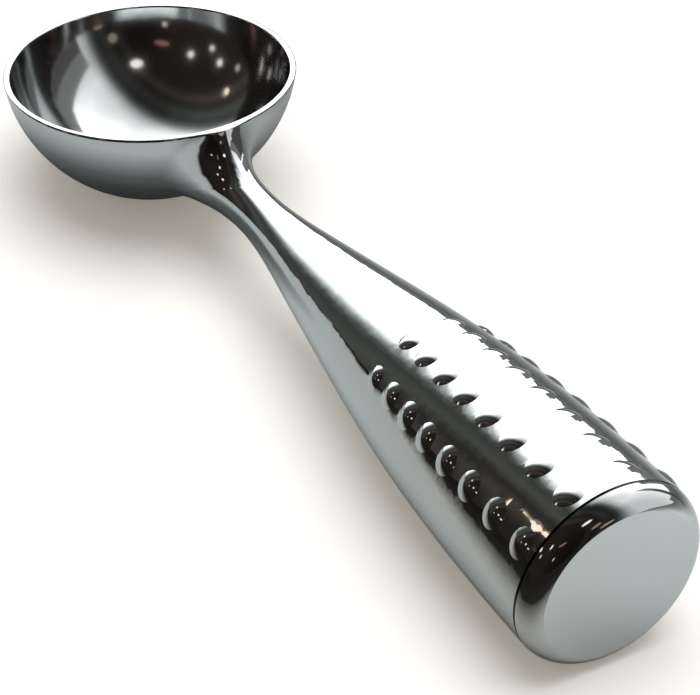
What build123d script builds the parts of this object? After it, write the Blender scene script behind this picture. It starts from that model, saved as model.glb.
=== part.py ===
from build123d import *
from math import asin, atan2, cos, degrees, hypot, radians, sin, sqrt
import os

# Ice cream scoop, in millimetres. Its pieces are drawn along the handle's axis, from
# under the centre of the bowl's rim to the butt. They are then laid on the floor, z = 0,
# where the scoop rests on its bowl and its butt, bowl open upwards, butt towards +X.

# Bowl
rim_radius = 28.0
rim_width = 1.3
rim_edge_round = 0.4
bowl_depth = 24.3
bowl_floor = 2.0
rim_tilt = 7.3
rim_height = 7.5

# Handle: distances along its axis, and half sizes of its oval sections
seam_distance = 152.0
waist_distance = 40.0
waist_half_width = 4.3
waist_half_height = 4.7
grip_radii = [6.9, 10.4, 13.7, 16.05, 17.45]
butt_radius = 18.1
handle_sections = 24

# Neck, where the handle spreads into the bowl
throat_gap = 4.5
throat_half_width = 4.9
throat_top = 5.0
throat_bottom = 5.4
root_inset = 12.0
root_side_gap = 1.8
root_top = 8.0
root_bottom_gap = 3.2
neck_blend = 10.0

# Raised dots on top of the grip, in rows along it. Angles are from straight up.
dot_rows = 4
first_row_angle = -57.3
row_angle = 36.0
dots_per_row = 8
first_dot_to_seam = 52.2
first_dot_pitch = 5.8
dot_pitch_ratio = 1.06
first_dot_diameter = 3.8
last_dot_diameter = 4.85
dot_height = 0.5

# Hollow inside the handle
handle_wall = 3.2
core_tip_distance = 64.0

# End cap, with the spigot that closes the handle and the seal round it
cap_length = 4.2
cap_face_radius = 15.1
cap_edge_radius = 4.8
cap_wall = 3.2
seam_chamfer = 0.25
seam_gap_width = 0.3
seam_gap_depth = 0.6
spigot_radius = 15.3
spigot_length = 9.5
spigot_wall = 2.6
spigot_lead = 0.6
spigot_fit = 0.05
spigot_end_clearance = 0.5
seal_distance = 4.5
seal_groove_depth = 1.4
seal_groove_width = 2.4
seal_width = 2.1
seal_corner = 0.5


def ball_radius(edge_radius, depth):
    """The radius of the ball whose cap has this edge radius and this depth."""
    return (edge_radius**2 + depth**2) / (2 * depth)


def ball(edge_radius, depth):
    """The ball that goes down to this depth under its circle of the edge radius, at z = 0."""
    radius = ball_radius(edge_radius, depth)
    return Pos(0, 0, radius - depth) * Sphere(radius)


def above_edge():
    """A block on the XY plane that takes in all of the bowl's ball and the neck above it."""
    side = 2 * waist_distance
    return Pos(0, 0, side / 2) * Box(side, side, side)


def bowl_centre():
    """Distance and height of the centre of the ball that the bowl is cut from."""
    rise = ball_radius(rim_radius, bowl_depth) - bowl_depth
    return -rise * sin(radians(rim_tilt)), rim_height + rise * cos(radians(rim_tilt))


def root_half_sizes():
    """The neck's half width and its depth at its root, each a gap inside the bowl's ball."""
    x, z = bowl_centre()
    radius = ball_radius(rim_radius, bowl_depth)
    section = sqrt(radius**2 - (rim_radius - root_inset - x) ** 2)
    return sqrt(section**2 - z**2) - root_side_gap, section - z - root_bottom_gap


def handle_guide(root_height, throat_height):
    """A curve in space: X is the distance, Y the half width and Z the height or depth."""
    grip = grip_radii + [butt_radius]
    step = (seam_distance - waist_distance) / len(grip)
    root_half_width, _ = root_half_sizes()
    points = [
        (rim_radius - root_inset, root_half_width, root_height),
        (rim_radius + throat_gap, throat_half_width, throat_height),
        (waist_distance, waist_half_width, waist_half_height),
    ]
    points += [(waist_distance + step * (i + 1), r, r) for i, r in enumerate(grip)]
    return Spline(points)


def guide_point(guide, distance):
    """The point of the guide at a distance along the handle."""
    low, high = 0.0, 1.0
    for _ in range(40):
        middle = (low + high) / 2
        if guide.position_at(middle).X < distance:
            low = middle
        else:
            high = middle
    return guide.position_at(high)


def neck_and_handle():
    """A smooth body through oval sections square to the handle's axis."""
    _, root_depth = root_half_sizes()
    crest = handle_guide(root_top, throat_top)
    keel = handle_guide(root_depth, throat_bottom)
    root = rim_radius - root_inset
    sections = []
    for i in range(handle_sections + 1):
        distance = root + (seam_distance - root) * i / handle_sections
        top = guide_point(crest, distance)
        bottom = guide_point(keel, distance)
        plane = Plane(origin=(distance, 0, (top.Z - bottom.Z) / 2), x_dir=(0, 1, 0), z_dir=(1, 0, 0))
        sections.append(plane * Ellipse(top.Y, (top.Z + bottom.Z) / 2))
    return loft(sections)


def dots(guide):
    """Domes that stand on the grip, as balls sunk into it."""
    balls = []
    distance = seam_distance - first_dot_to_seam
    pitch = first_dot_pitch
    for place in range(dots_per_row):
        share = sqrt(place / (dots_per_row - 1))
        diameter = first_dot_diameter + (last_dot_diameter - first_dot_diameter) * share
        radius = ball_radius(diameter / 2, dot_height)
        reach = guide_point(guide, distance).Y + dot_height - radius
        for row in range(dot_rows):
            angle = radians(first_row_angle + row_angle * row)
            balls.append(Pos(distance, reach * sin(angle), reach * cos(angle)) * Sphere(radius))
        distance += pitch
        pitch *= dot_pitch_ratio
    return balls


def handle_core(guide):
    """The hollow, a wall inside the grip, with the bore for the cap's spigot."""
    bore_end = seam_distance - spigot_length - spigot_end_clearance
    bore_radius = spigot_radius + spigot_fit
    middle = (core_tip_distance + bore_end) / 2
    tip_radius = guide_point(guide, core_tip_distance).Y - handle_wall
    middle_radius = guide_point(guide, middle).Y - handle_wall
    end_radius = guide_point(guide, bore_end).Y - handle_wall
    start = core_tip_distance - tip_radius
    half = tip_radius * cos(radians(45))
    tip = ThreePointArc((start, 0), (core_tip_distance - half, half), (core_tip_distance, tip_radius))
    side = Spline([(core_tip_distance, tip_radius), (middle, middle_radius), (bore_end, end_radius)])
    bore = Polyline(
        (bore_end, end_radius),
        (bore_end, bore_radius),
        (seam_distance, bore_radius),
        (seam_distance, 0),
        (start, 0),
    )
    return revolve(make_face(Curve() + [tip, side, bore]), Axis.X)


def butt_trim():
    """What is cut away past the seam and round it, which leaves the butt square and bevelled."""
    start = seam_distance - seam_chamfer
    end = seam_distance + last_dot_diameter
    outside = butt_radius + last_dot_diameter
    corners = [
        (start, butt_radius),
        (seam_distance, butt_radius - seam_chamfer),
        (seam_distance, 0),
        (end, 0),
        (end, outside),
        (start, outside),
    ]
    return revolve(make_face(Polyline(corners, close=True)), Axis.X)


def scoop_casting():
    """Bowl, neck and hollow handle in one piece, with the dots of the grip."""
    guide = handle_guide(root_top, throat_top)
    rim_place = Location((0, 0, rim_height), (0, -rim_tilt, 0))
    casting = rim_place * ball(rim_radius, bowl_depth) + neck_and_handle()
    neck_edges = casting.edges().filter_by(GeomType.BSPLINE).filter_by_position(Axis.X, 0, waist_distance)
    casting = fillet(neck_edges, neck_blend) - rim_place * above_edge()
    casting -= rim_place * ball(rim_radius - rim_width, bowl_depth - bowl_floor)
    rim_face = casting.faces().filter_by(GeomType.PLANE).sort_by(Axis.X)[0]
    casting = fillet(rim_face.edges(), rim_edge_round)
    casting += dots(guide)
    return casting - butt_trim() - handle_core(guide)


def end_cap():
    """The rounded cap with its flat face, its seam line and the spigot that plugs the handle."""
    face = seam_distance + cap_length
    inner_radius = spigot_radius - spigot_wall
    spigot_end = seam_distance - spigot_length
    groove_start = seam_distance - seal_distance - seal_groove_width / 2
    groove_end = groove_start + seal_groove_width
    groove_radius = spigot_radius - seal_groove_depth
    shoulder = seam_distance + seam_gap_width
    shoulder_radius = butt_radius - seam_gap_depth
    edge_start = (shoulder, butt_radius)
    edge_end = (face, cap_face_radius)
    edge = RadiusArc(edge_start, edge_end, cap_edge_radius)
    outline = Polyline(
        edge_start,
        (shoulder, shoulder_radius),
        (seam_distance, shoulder_radius),
        (seam_distance, spigot_radius),
        (groove_end, spigot_radius),
        (groove_end, groove_radius),
        (groove_start, groove_radius),
        (groove_start, spigot_radius),
        (spigot_end + spigot_lead, spigot_radius),
        (spigot_end, spigot_radius - spigot_lead),
        (spigot_end, inner_radius),
        (face - cap_wall, inner_radius),
        (face - cap_wall, 0),
        (face, 0),
        edge_end,
    )
    return revolve(make_face(Curve() + [edge, outline]), Axis.X)


def cap_seal_ring():
    """The O-ring, squeezed between the groove's floor and the bore."""
    inside = spigot_radius - seal_groove_depth
    outside = spigot_radius + spigot_fit
    middle = Pos(seam_distance - seal_distance, (inside + outside) / 2)
    return revolve(middle * RectangleRounded(seal_width, outside - inside, seal_corner), Axis.X)


def rest_place(pieces):
    """Turns and lifts the scoop so that bowl and butt lie on the floor, centred along X."""
    x, z = bowl_centre()
    radius = ball_radius(rim_radius, bowl_depth)
    run = seam_distance + seam_gap_width - x
    rise = z + butt_radius
    pitch = atan2(rise, run) - asin(radius / hypot(run, rise))
    turn = Rotation(0, -degrees(pitch), 0)
    boxes = [(turn * piece).bounding_box() for piece in pieces]
    floor = min(box.min.Z for box in boxes)
    front = min(box.min.X for box in boxes)
    back = max(box.max.X for box in boxes)
    return Pos(-(front + back) / 2, 0, -floor) * turn


pieces = {
    "scoop_casting": scoop_casting(),
    "end_cap": end_cap(),
    "cap_seal_ring": cap_seal_ring(),
}
place = rest_place(pieces.values())
os.makedirs("parts", exist_ok=True)
for name, piece in pieces.items():
    export_step(place * piece, f"parts/{name}.step")
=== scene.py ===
from math import cos, pi, radians, sin

import bmesh
import bpy
from mathutils import Euler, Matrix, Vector


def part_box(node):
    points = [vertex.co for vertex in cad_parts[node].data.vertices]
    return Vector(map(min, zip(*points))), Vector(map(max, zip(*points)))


bl_info = {
    "name": "Ice Cream Scoop",
    "version": (1, 0, 0),
    "blender": (4, 5, 0),
    "location": "View3D > Sidebar > Scoop",
    "description": "Finishes a chrome-plated ice cream scoop and sets up its studio",
    "category": "Object",
}

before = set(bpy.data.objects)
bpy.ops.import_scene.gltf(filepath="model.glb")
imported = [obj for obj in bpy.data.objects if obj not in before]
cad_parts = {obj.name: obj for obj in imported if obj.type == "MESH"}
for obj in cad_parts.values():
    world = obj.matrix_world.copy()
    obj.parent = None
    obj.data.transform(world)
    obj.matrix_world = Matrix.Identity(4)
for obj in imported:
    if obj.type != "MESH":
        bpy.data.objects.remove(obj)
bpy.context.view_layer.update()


# Sizes of the scoop, in metres

# Centre of the ball that the bowl's inside is cut from, as a distance from the scoop's tip and
# a height, and where the inside's finish ends: its radius and the width of the change.
BOWL_FROM_TIP = 0.02697
BOWL_HEIGHT = 0.02918
BOWL_RADIUS = 0.0273
BOWL_EDGE = 0.0004

# Painted shade in the seam: the chrome is darkened in a thin band over the seam's gap and the bevel
# beside it, by the distance along the handle's axis.
SEAM_AXIS = (0.999966, 0.0, 0.008292)
SEAM_PAINTED_SHADE = (
    (0.08752, (1.0, 1.0, 1.0)),
    (0.08759, (0.12, 0.12, 0.12)),
    (0.08810, (0.12, 0.12, 0.12)),
    (0.08816, (1.0, 1.0, 1.0)),
)


# Sizes and shades of the finish. Sizes are in metres.

# The part of the noise's range that is used, so that it covers 0 to 1.
NOISE_LOW = 0.3
NOISE_HIGH = 0.7

TINT_SIZE = 0.02
TINT_SHADE = 0.96
SMUDGE_SIZE = 0.004
MIRROR_SPREAD = 0.3
BOWL_SPREAD = 0.2
GRAIN_SIZE = 0.0006
GRAIN_SHADE = 1.8
RUBBER_ROUGHNESS = (0.55, 0.75)


# Shades of the studio

# How the room brightens from its dark side to the white cloth: the share of the way to the
# cloth's side, and the share of its brightness.
CLOTH_SHADES = (
    (-0.60, (0.009, 0.007, 0.006)),
    (-0.48, (0.011, 0.009, 0.008)),
    (-0.39, (0.030, 0.025, 0.022)),
    (-0.29, (0.014, 0.013, 0.012)),
    (-0.18, (0.036, 0.038, 0.034)),
    (-0.08, (0.025, 0.026, 0.024)),
    (-0.02, (0.048, 0.052, 0.048)),
    (0.03, (0.15, 0.16, 0.15)),
    (0.07, (0.33, 0.35, 0.34)),
    (0.12, (0.65, 0.66, 0.65)),
    (0.22, (1.0, 1.0, 1.0)),
)

# How the cloth dims towards its end beside the cap, by the share of its radius.
CLOTH_END_SHADES = (
    (0.05, (1.0, 1.0, 1.0)),
    (0.25, (0.72, 0.72, 0.72)),
    (0.5, (0.52, 0.52, 0.52)),
    (0.7, (0.4, 0.4, 0.4)),
    (0.85, (0.33, 0.33, 0.33)),
)

# How the room dims towards its ceiling, by the share of its radius.
CEILING_SHADES = (
    (0.0, (1.0, 1.0, 1.0)),
    (0.75, (1.0, 1.0, 1.0)),
    (0.93, (0.6, 0.6, 0.6)),
    (1.0, (0.3, 0.3, 0.3)),
)

# Shades of the floor that the chrome mirrors, by the distance across the handle.
FLOOR_SHADES = (
    (-0.16, (0.022, 0.02, 0.018)),
    (-0.09, (0.034, 0.031, 0.028)),
    (-0.073, (0.32, 0.32, 0.3)),
    (-0.056, (0.80, 0.82, 0.78)),
    (-0.02, (0.85, 0.91, 0.92)),
    (0.025, (0.93, 1.0, 1.0)),
    (0.05, (0.68, 0.72, 0.71)),
    (0.065, (0.52, 0.55, 0.54)),
    (0.12, (0.33, 0.35, 0.34)),
    (0.30, (0.21, 0.23, 0.22)),
)

# How that floor brightens in front of the cap, by the distance along the handle.
LENGTH_SHADES = (
    (-0.1, (0.77, 0.77, 0.77)),
    (0.085, (0.79, 0.79, 0.79)),
    (0.12, (1.0, 1.0, 1.0)),
)

# Painted shadow beneath the bowl on that floor: the distance of its darkest place from the scoop's tip,
# the radii between which it changes, and how dark it is there.
BOWL_SHADOW_FROM_TIP = 0.0277
BOWL_SHADOW_RADII = (0.028, 0.047)
BOWL_SHADOW_DEPTH = 0.42

# Grey walls on the far side of the scoop: one along the foot of the cloth, two that run away
# past the cap, and one beside the bowl. X, Y and height at each end, and the colour.
ROOM_WALLS = (
    ((-1.263, 0.851, 0.16), (0.521, 1.431, 0.16), (0.2, 0.21, 0.21)),
    ((0.1, 0.125, 0.162), (0.0, 1.3, 0.875), (0.26, 0.265, 0.26)),
    ((0.096, 0.125, 0.1), (-0.004, 1.3, 0.5), (0.1, 0.1, 0.095)),
    ((-0.055, 0.38, 0.275), (-0.182, 0.365, 0.275), (0.26, 0.265, 0.26)),
)

# Lights of the dark side of the room: direction from +X, height, size and stretch, in
# degrees, and colour.
ROOM_LIGHTS = (
    (-17, 50, 3.4, 1.5, (1.0, 0.93, 0.86)),
    (-76, 33, 2.6, 1.0, (0.9, 0.8, 0.76)),
    (-92, 20, 2.0, 1.0, (0.8, 0.68, 0.62)),
    (-105, 24, 2.4, 1.0, (0.9, 0.84, 0.8)),
    (-130, 29, 1.8, 1.3, (1.0, 0.86, 0.7)),
    (-130, 30, 3.2, 1.0, (0.22, 0.15, 0.11)),
    (-122, 15, 2.0, 1.0, (0.4, 0.37, 0.35)),
    (-45, 32, 2.0, 3.0, (0.2, 0.1, 0.09)),
    (-45, 16, 2.0, 1.0, (0.5, 0.42, 0.37)),
    (3, 25, 4.0, 1.0, (0.2, 0.17, 0.14)),
    (14, 11, 3.0, 1.5, (0.3, 0.22, 0.17)),
)
ROOM_LIGHT_GLOW = 1.8

# Larger lights of the room hang further away, so that a small one shows in front of its halo:
# the share of the room's radius for a light without size, and what is added for its radius.
NEAREST_LIGHT = 0.85
LIGHT_BEHIND = 2.0

# Sides of the round stage objects, the floor's size in radii of the room, and how far the
# mirrored floor lies over it, in metres.
SEGMENTS = 96
FLOOR_SIZE = 4.0
FLOOR_LIFT = 0.0003
SENSOR_WIDTH = 36.0


# Properties

class ScoopFinish(bpy.types.PropertyGroup):
    chrome_colour: bpy.props.FloatVectorProperty(
        name="Chrome", description="Colour of the plating", subtype="COLOR",
        size=3, min=0.0, max=1.0, default=(0.548, 0.567, 0.572))
    mirror_roughness: bpy.props.FloatProperty(
        name="Mirror roughness", description="Roughness of the polished outside",
        subtype="FACTOR", min=0.0, max=1.0, default=0.05)
    bowl_roughness: bpy.props.FloatProperty(
        name="Bowl roughness", description="Roughness of the spun polish inside the bowl",
        subtype="FACTOR", min=0.0, max=1.0, default=0.11)
    ripple_size: bpy.props.FloatProperty(
        name="Ripple size", description="Distance between the soft ripples of the polish",
        unit="LENGTH", min=0.001, default=0.009)
    ripple_height: bpy.props.FloatProperty(
        name="Ripple height", description="Height of the soft ripples of the polish",
        unit="LENGTH", min=0.0, default=0.00001)
    rubber_colour: bpy.props.FloatVectorProperty(
        name="Rubber", description="Colour of the seal ring", subtype="COLOR",
        size=3, min=0.0, max=1.0, default=(0.012, 0.012, 0.012))


class ScoopStage(bpy.types.PropertyGroup):
    floor_colour: bpy.props.FloatVectorProperty(
        name="Floor", description="Colour of the pale floor", subtype="COLOR",
        size=3, min=0.0, max=1.0, default=(0.92, 0.925, 0.935))
    floor_glow: bpy.props.FloatVectorProperty(
        name="Floor glow", description="What is added to the floor to make it white to the camera",
        subtype="COLOR", size=3, min=0.0, max=1.0, default=(0.21, 0.187, 0.148))
    key_strength: bpy.props.FloatProperty(
        name="Key light", description="Strength of the soft light from above", min=0.0, default=2.05)
    key_angle: bpy.props.FloatProperty(
        name="Key softness", description="Angle that the soft light from above fills",
        subtype="ANGLE", default=radians(55))
    key_height: bpy.props.FloatProperty(
        name="Key height", description="Angle of the light from above over the horizon",
        subtype="ANGLE", default=radians(82))
    key_side: bpy.props.FloatProperty(
        name="Key side", description="Direction that the light from above leans to, from +X",
        subtype="ANGLE", default=radians(135))
    fill_colour: bpy.props.FloatVectorProperty(
        name="Fill light", description="Colour of the light that fills the shadows", subtype="COLOR",
        size=3, min=0.0, max=1.0, default=(0.35, 0.34, 0.33))
    softbox_strength: bpy.props.FloatProperty(
        name="Softbox", description="Brightness of the white cloth that the chrome mirrors",
        min=0.0, default=2.8)
    softbox_side: bpy.props.FloatProperty(
        name="Softbox side", description="Direction in which the white cloth hangs, from +X",
        subtype="ANGLE", default=radians(112))
    floor_turn: bpy.props.FloatProperty(
        name="Floor turn", description="How the shades of the mirrored floor are turned from +Y",
        subtype="ANGLE", default=radians(25))
    room_radius: bpy.props.FloatProperty(
        name="Room radius", description="Distance from the scoop to what the chrome mirrors",
        unit="LENGTH", min=0.5, default=1.6)
    camera_place: bpy.props.FloatVectorProperty(
        name="Camera", description="Where the camera stands", subtype="TRANSLATION",
        size=3, default=(0.41255, -0.27735, 0.40546))
    camera_turn: bpy.props.FloatVectorProperty(
        name="Camera turn", description="How the camera is turned", subtype="EULER",
        size=3, default=(radians(50.916), radians(-3.156), radians(58.033)))
    lens: bpy.props.FloatProperty(
        name="Lens", description="Focal length of the camera in millimetres",
        unit="CAMERA", min=20.0, default=180.0)


# Node helpers

def new_material(name):
    """A material whose node tree holds only its shader and its output, and its nodes and links."""
    material = bpy.data.materials.new(name)
    material.use_nodes = True
    return material, material.node_tree.nodes, material.node_tree.links


def object_place(nodes):
    """The place on the object, in its own coordinates."""
    return nodes.new("ShaderNodeTexCoord").outputs["Object"]


def larger(nodes, links, first, second):
    """The larger of two values."""
    node = nodes.new("ShaderNodeMath")
    node.operation = "MAXIMUM"
    links.new(first, node.inputs[0])
    links.new(second, node.inputs[1])
    return node.outputs["Value"]


def distance_to(nodes, links, point):
    """The distance from the place on the object to a point."""
    node = nodes.new("ShaderNodeVectorMath")
    node.operation = "DISTANCE"
    links.new(object_place(nodes), node.inputs[0])
    node.inputs[1].default_value = point
    return node.outputs["Value"]


def noise(nodes, links, size, detail=2.0):
    """Noise whose bumps lie about this size apart, in metres."""
    node = nodes.new("ShaderNodeTexNoise")
    node.inputs["Scale"].default_value = 1.0 / size
    node.inputs["Detail"].default_value = detail
    links.new(object_place(nodes), node.inputs["Vector"])
    return node.outputs["Fac"]


def map_range(nodes, links, value, low, high, to_low, to_high):
    """Maps a value from one range to another, clamped."""
    node = nodes.new("ShaderNodeMapRange")
    links.new(value, node.inputs["Value"])
    limits = {"From Min": low, "From Max": high, "To Min": to_low, "To Max": to_high}
    for name, number in limits.items():
        node.inputs[name].default_value = number
    return node.outputs["Result"]


def spread(nodes, links, grain, low, high):
    """Noise as a value that goes from low to high."""
    return map_range(nodes, links, grain, NOISE_LOW, NOISE_HIGH, low, high)


def mixed_colour(nodes, links, share, first, second):
    """A colour between two colours, by a share from 0 to 1."""
    node = nodes.new("ShaderNodeMix")
    node.data_type = "RGBA"
    node.inputs["A"].default_value = (*first, 1.0)
    node.inputs["B"].default_value = (*second, 1.0)
    links.new(share, node.inputs["Factor"])
    return node.outputs["Result"]


def times(nodes, links, first, second):
    """One colour times another."""
    node = nodes.new("ShaderNodeMix")
    node.data_type = "RGBA"
    node.blend_type = "MULTIPLY"
    node.inputs["Factor"].default_value = 1.0
    links.new(first, node.inputs["A"])
    links.new(second, node.inputs["B"])
    return node.outputs["Result"]


def shades_along(nodes, links, direction, stops):
    """Colours that change along a direction, from stops of a distance and a colour."""
    along = nodes.new("ShaderNodeVectorMath")
    along.operation = "DOT_PRODUCT"
    links.new(object_place(nodes), along.inputs[0])
    along.inputs[1].default_value = direction
    low, high = stops[0][0], stops[-1][0]
    node = nodes.new("ShaderNodeValToRGB")
    share = map_range(nodes, links, along.outputs["Value"], low, high, 0.0, 1.0)
    links.new(share, node.inputs["Fac"])
    for i in (0, -1):
        node.color_ramp.elements[i].color = (*stops[i][1], 1.0)
    for distance, colour in stops[1:-1]:
        place = (distance - low) / (high - low)
        node.color_ramp.elements.new(place).color = (*colour, 1.0)
    return node.outputs["Color"]


# Pieces

def chrome(name, finish, bowl_centre=None):
    """Polished plating with soft ripples, a duller spun polish inside the bowl, and painted shade in
    the seam.
    """
    material, nodes, links = new_material(name)
    shader = nodes["Principled BSDF"]
    shader.inputs["Metallic"].default_value = 1.0
    shade = spread(nodes, links, noise(nodes, links, TINT_SIZE, 4.0), 0.0, 1.0)
    darker = [TINT_SHADE * c for c in finish.chrome_colour]
    tint = mixed_colour(nodes, links, shade, darker, finish.chrome_colour)
    # Painted shade: the base colour is darkened in a thin band at the seam's gap.
    painted_seam_shade = shades_along(nodes, links, SEAM_AXIS, SEAM_PAINTED_SHADE)
    links.new(times(nodes, links, tint, painted_seam_shade), shader.inputs["Base Color"])
    smudge = noise(nodes, links, SMUDGE_SIZE, 5.0)
    low, high = 1.0 - MIRROR_SPREAD, 1.0 + MIRROR_SPREAD
    mirror = finish.mirror_roughness
    roughness = spread(nodes, links, smudge, low * mirror, high * mirror)
    if bowl_centre:
        low, high = 1.0 - BOWL_SPREAD, 1.0 + BOWL_SPREAD
        dull = finish.bowl_roughness
        streaks = spread(nodes, links, smudge, low * dull, high * dull)
        distance = distance_to(nodes, links, bowl_centre)
        edge = BOWL_RADIUS + BOWL_EDGE
        both = nodes.new("ShaderNodeMix")
        links.new(map_range(nodes, links, distance, BOWL_RADIUS, edge, 1.0, 0.0), both.inputs["Factor"])
        links.new(roughness, both.inputs["A"])
        links.new(streaks, both.inputs["B"])
        roughness = both.outputs["Result"]
    links.new(roughness, shader.inputs["Roughness"])
    bump = nodes.new("ShaderNodeBump")
    bump.inputs["Distance"].default_value = finish.ripple_height
    links.new(noise(nodes, links, finish.ripple_size, 1.0), bump.inputs["Height"])
    links.new(bump.outputs["Normal"], shader.inputs["Normal"])
    return material


def dress(node, material):
    """Gives a CAD node this material all over."""
    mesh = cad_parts[node].data
    mesh.materials.clear()
    mesh.materials.append(material)


class SCOOP_OT_casting(bpy.types.Operator):
    """Plates the one-piece casting: bowl, neck and handle"""
    bl_idname = "scoop.casting"
    bl_label = "Plate the casting"

    def execute(self, context):
        tip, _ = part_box("scoop_casting")
        centre = Vector((tip.x + BOWL_FROM_TIP, 0.0, BOWL_HEIGHT))
        dress("scoop_casting", chrome("chrome_casting", context.scene.scoop_finish, centre))
        return {"FINISHED"}


class SCOOP_OT_cap(bpy.types.Operator):
    """Plates the end cap"""
    bl_idname = "scoop.cap"
    bl_label = "Plate the end cap"

    def execute(self, context):
        dress("end_cap", chrome("chrome_cap", context.scene.scoop_finish))
        return {"FINISHED"}


class SCOOP_OT_seal(bpy.types.Operator):
    """Gives the seal ring its black rubber"""
    bl_idname = "scoop.seal"
    bl_label = "Finish the seal ring"

    def execute(self, context):
        rubber = context.scene.scoop_finish.rubber_colour
        material, nodes, links = new_material("seal_rubber")
        shader = nodes["Principled BSDF"]
        grain = noise(nodes, links, GRAIN_SIZE, 3.0)
        tint = mixed_colour(nodes, links, grain, rubber, [GRAIN_SHADE * c for c in rubber])
        links.new(tint, shader.inputs["Base Color"])
        links.new(spread(nodes, links, grain, *RUBBER_ROUGHNESS), shader.inputs["Roughness"])
        dress("cap_seal_ring", material)
        return {"FINISHED"}


# Stage

def stage_object(name, form, material, **visible):
    """A mesh object of the stage from a bmesh. Rays that are named False don't see it."""
    mesh = bpy.data.meshes.new(name)
    form.to_mesh(mesh)
    form.free()
    mesh.materials.append(material)
    piece = bpy.data.objects.new(name, mesh)
    bpy.context.scene.collection.objects.link(piece)
    for ray, seen in visible.items():
        setattr(piece, "visible_" + ray, seen)


def mirror_only(name, form, material):
    """A stage object that only reflections see, so that it lights and shades nothing."""
    stage_object(name, form, material, camera=False, diffuse=False, shadow=False)


def matt(name, colour):
    """A matt material, and its nodes, links and shader."""
    material, nodes, links = new_material(name)
    shader = nodes["Principled BSDF"]
    shader.inputs["Base Color"].default_value = (*colour, 1.0)
    shader.inputs["Roughness"].default_value = 1.0
    shader.inputs["Specular IOR Level"].default_value = 0.0
    return material, nodes, links, shader


def glowing(name, colour, strength):
    """A material that only glows."""
    material, _, _, shader = matt(name, (0.0, 0.0, 0.0))
    shader.inputs["Emission Color"].default_value = (*colour, 1.0)
    shader.inputs["Emission Strength"].default_value = strength
    return material


def seen_rays(nodes, links):
    """1 for rays from the camera, from gloss and through glass, and 0 for the light's own."""
    ray = nodes.new("ShaderNodeLightPath").outputs
    seen = larger(nodes, links, ray["Is Camera Ray"], ray["Is Glossy Ray"])
    return larger(nodes, links, seen, ray["Is Transmission Ray"])


def disc(radius):
    """A flat round bmesh on the floor."""
    form = bmesh.new()
    bmesh.ops.create_circle(form, cap_ends=True, segments=SEGMENTS, radius=radius)
    return form


def lay_floor(stage):
    """The pale floor, which gloss doesn't see."""
    material, nodes, links, shader = matt("pale_floor", stage.floor_colour)
    shader.inputs["Emission Color"].default_value = (*stage.floor_glow, 1.0)
    links.new(seen_rays(nodes, links), shader.inputs["Emission Strength"])
    stage_object("floor", disc(FLOOR_SIZE * stage.room_radius), material, glossy=False)


def lay_mirrored_floor(stage):
    """The floor that the chrome mirrors: paler beside the scoop, with a painted shadow beneath its
    bowl.
    """
    material, nodes, links, shader = matt("mirrored_floor", stage.floor_colour)
    across = Vector((-sin(stage.floor_turn), cos(stage.floor_turn), 0.0))
    shades = times(
        nodes, links, shades_along(nodes, links, across, FLOOR_SHADES),
        shades_along(nodes, links, (1, 0, 0), LENGTH_SHADES))
    tip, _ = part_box("scoop_casting")
    # Painted shadow: the floor's colour is darkened round a point beneath the bowl.
    distance = distance_to(nodes, links, (tip.x + BOWL_SHADOW_FROM_TIP, 0.0, 0.0))
    painted_bowl_shadow = map_range(nodes, links, distance, *BOWL_SHADOW_RADII, BOWL_SHADOW_DEPTH, 1.0)
    links.new(times(nodes, links, shades, painted_bowl_shadow), shader.inputs["Base Color"])
    form = disc(stage.room_radius)
    bmesh.ops.translate(form, vec=(0, 0, FLOOR_LIFT), verts=form.verts)
    mirror_only("mirrored_floor", form, material)


def hang_cloth(stage):
    """Half a ball over the scoop, which is white cloth on one side and a dark room on the other."""
    radius = stage.room_radius
    form = bmesh.new()
    bmesh.ops.create_uvsphere(form, u_segments=SEGMENTS, v_segments=SEGMENTS // 2, radius=radius)
    geometry = form.verts[:] + form.edges[:] + form.faces[:]
    bmesh.ops.bisect_plane(
        form, geom=geometry, plane_co=(0, 0, 0), plane_no=(0, 0, 1), clear_inner=True)
    material, nodes, links, shader = matt("studio_cloth", (0.0, 0.0, 0.0))
    towards = Vector((cos(stage.softbox_side), sin(stage.softbox_side), 0.0))
    along = Vector((towards.y, -towards.x, 0.0))
    side = shades_along(nodes, links, towards / radius, CLOTH_SHADES)
    up = shades_along(nodes, links, (0, 0, 1 / radius), CEILING_SHADES)
    end = shades_along(nodes, links, along / radius, CLOTH_END_SHADES)
    shades = times(nodes, links, times(nodes, links, side, up), end)
    links.new(shades, shader.inputs["Emission Color"])
    shader.inputs["Emission Strength"].default_value = stage.softbox_strength
    mirror_only("studio_cloth", form, material)


def build_walls():
    """The grey walls of the room."""
    for i, (left, right, colour) in enumerate(ROOM_WALLS):
        form = bmesh.new()
        corners = ((*left[:2], 0.0), (*right[:2], 0.0), right, left)
        form.faces.new([form.verts.new(corner) for corner in corners])
        name = f"room_wall_{i}"
        mirror_only(name, form, glowing(name, colour, 1.0))


def hang_room_lights(radius):
    """The small lights of the room."""
    for i, (direction, height, size, stretch, colour) in enumerate(ROOM_LIGHTS):
        size = radians(size)
        turn = Euler((0, -radians(height), radians(direction))).to_matrix()
        away = radius * (NEAREST_LIGHT + LIGHT_BEHIND * size)
        form = bmesh.new()
        bmesh.ops.create_icosphere(form, subdivisions=3, radius=radius * size)
        bmesh.ops.scale(form, vec=(1, stretch, 1), verts=form.verts)
        bmesh.ops.translate(form, vec=(away, 0, 0), verts=form.verts)
        bmesh.ops.rotate(form, cent=(0, 0, 0), matrix=turn, verts=form.verts)
        name = f"room_light_{i}"
        mirror_only(name, form, glowing(name, colour, ROOM_LIGHT_GLOW))


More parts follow.
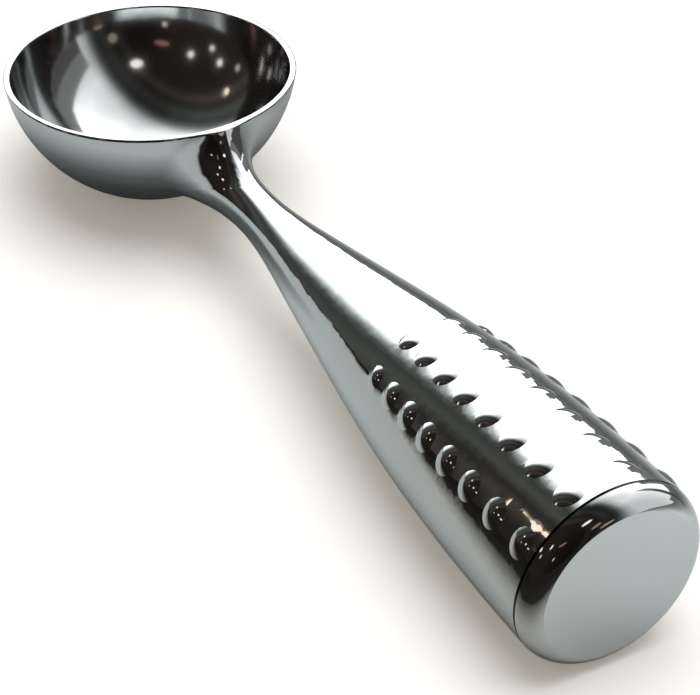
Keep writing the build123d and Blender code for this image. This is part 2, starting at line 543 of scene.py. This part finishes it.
def light_scene(scene, stage):
    """The soft light from above, and the world that fills the shadows and is white to the eye."""
    key = bpy.data.objects.new("key_light", bpy.data.lights.new("key_light", "SUN"))
    scene.collection.objects.link(key)
    key.data.energy = stage.key_strength
    key.data.angle = stage.key_angle
    key.rotation_euler = (0, pi / 2 - stage.key_height, stage.key_side)
    key.visible_glossy = False

    scene.world = bpy.data.worlds.new("studio")
    scene.world.use_nodes = True
    nodes, links = scene.world.node_tree.nodes, scene.world.node_tree.links
    white = (1.0, 1.0, 1.0)
    colour = mixed_colour(nodes, links, seen_rays(nodes, links), stage.fill_colour, white)
    links.new(colour, nodes["Background"].inputs["Color"])


def place_camera(scene, stage):
    """The camera, where the photo's stood."""
    camera = bpy.data.objects.new("camera", bpy.data.cameras.new("camera"))
    scene.collection.objects.link(camera)
    camera.location = stage.camera_place
    camera.rotation_euler = stage.camera_turn
    camera.data.lens = stage.lens
    camera.data.sensor_width = SENSOR_WIDTH
    camera.data.sensor_fit = "HORIZONTAL"
    scene.camera = camera


class SCOOP_OT_stage(bpy.types.Operator):
    """Sets up the floor, the lights, what the chrome mirrors, the world and the camera"""
    bl_idname = "scoop.stage"
    bl_label = "Set up the studio"

    def execute(self, context):
        scene = context.scene
        stage = scene.scoop_stage
        lay_floor(stage)
        lay_mirrored_floor(stage)
        hang_cloth(stage)
        build_walls()
        hang_room_lights(stage.room_radius)
        light_scene(scene, stage)
        place_camera(scene, stage)
        scene.view_settings.view_transform = "Standard"
        return {"FINISHED"}


# Sidebar

class SCOOP_PT_panel(bpy.types.Panel):
    """Lists the scoop's steps and their settings"""
    bl_label = "Ice Cream Scoop"
    bl_space_type = "VIEW_3D"
    bl_region_type = "UI"
    bl_category = "Scoop"

    def draw(self, context):
        for group in (context.scene.scoop_finish, context.scene.scoop_stage):
            for name in group.__annotations__:
                self.layout.prop(group, name)
        for operator in OPERATORS:
            self.layout.operator(operator.bl_idname)


OPERATORS = (SCOOP_OT_casting, SCOOP_OT_cap, SCOOP_OT_seal, SCOOP_OT_stage)
CLASSES = (ScoopFinish, ScoopStage) + OPERATORS + (SCOOP_PT_panel,)


def register():
    for cls in CLASSES:
        bpy.utils.register_class(cls)
    bpy.types.Scene.scoop_finish = bpy.props.PointerProperty(type=ScoopFinish)
    bpy.types.Scene.scoop_stage = bpy.props.PointerProperty(type=ScoopStage)


def unregister():
    del bpy.types.Scene.scoop_stage
    del bpy.types.Scene.scoop_finish
    for cls in reversed(CLASSES):
        bpy.utils.unregister_class(cls)


def main():
    register()
    bpy.ops.scoop.casting()
    bpy.ops.scoop.cap()
    bpy.ops.scoop.seal()
    bpy.ops.scoop.stage()


if __name__ == "__main__":
    main()
